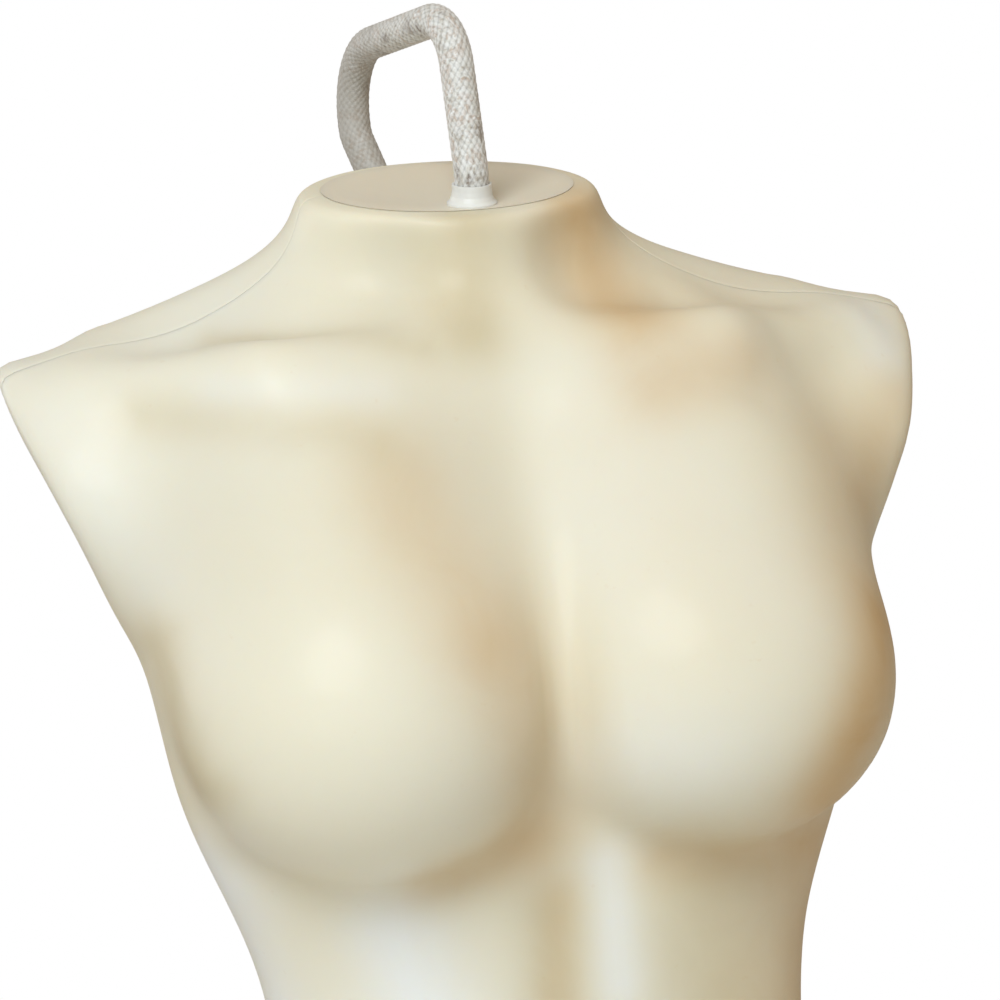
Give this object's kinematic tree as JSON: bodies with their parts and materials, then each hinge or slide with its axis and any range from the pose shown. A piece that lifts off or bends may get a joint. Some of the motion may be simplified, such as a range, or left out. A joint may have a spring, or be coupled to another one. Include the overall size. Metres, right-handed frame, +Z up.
{
  "type": "hanging torso form",
  "caption": "Headless, armless female display torso of hollow glossy plastic, cut flat at the hips, with a covered steel hanging loop from the neck cap to the nape.",
  "frame": {"origin": "on the flat base's underside, on the form's midline and in the plane of the side seams", "axes": "+Z up along the body to the neck, -Y to the front (bust), +X to the form's own left"},
  "size_m": [0.3744, 0.2849, 0.7292],
  "materials": {
    "shell_plastic": "glossy cream moulded plastic, slightly translucent",
    "cap_plastic": "glossy cream moulded plastic",
    "inner_plastic": "unpolished cream plastic",
    "bead_plastic": "off-white moulded plastic",
    "loop_cover": "braided grey and off-white cord cover",
    "plated_steel": "zinc-plated steel"
  },
  "bodies": {
    "root": {"front_shell": "shell_plastic", "back_shell": "shell_plastic", "left_seam_strip": "inner_plastic", "right_seam_strip": "inner_plastic", "base_plate": "inner_plastic", "neck_cap": "cap_plastic", "neck_backing_plate": "plated_steel", "hanging_loop_rod": "plated_steel", "loop_sleeve": "loop_cover", "front_leg_bead": "bead_plastic", "rear_leg_collar": "bead_plastic", "sleeve_ferrule": "plated_steel", "loop_washers": "plated_steel", "loop_nuts": "plated_steel"}
  },
  "joints": []
}
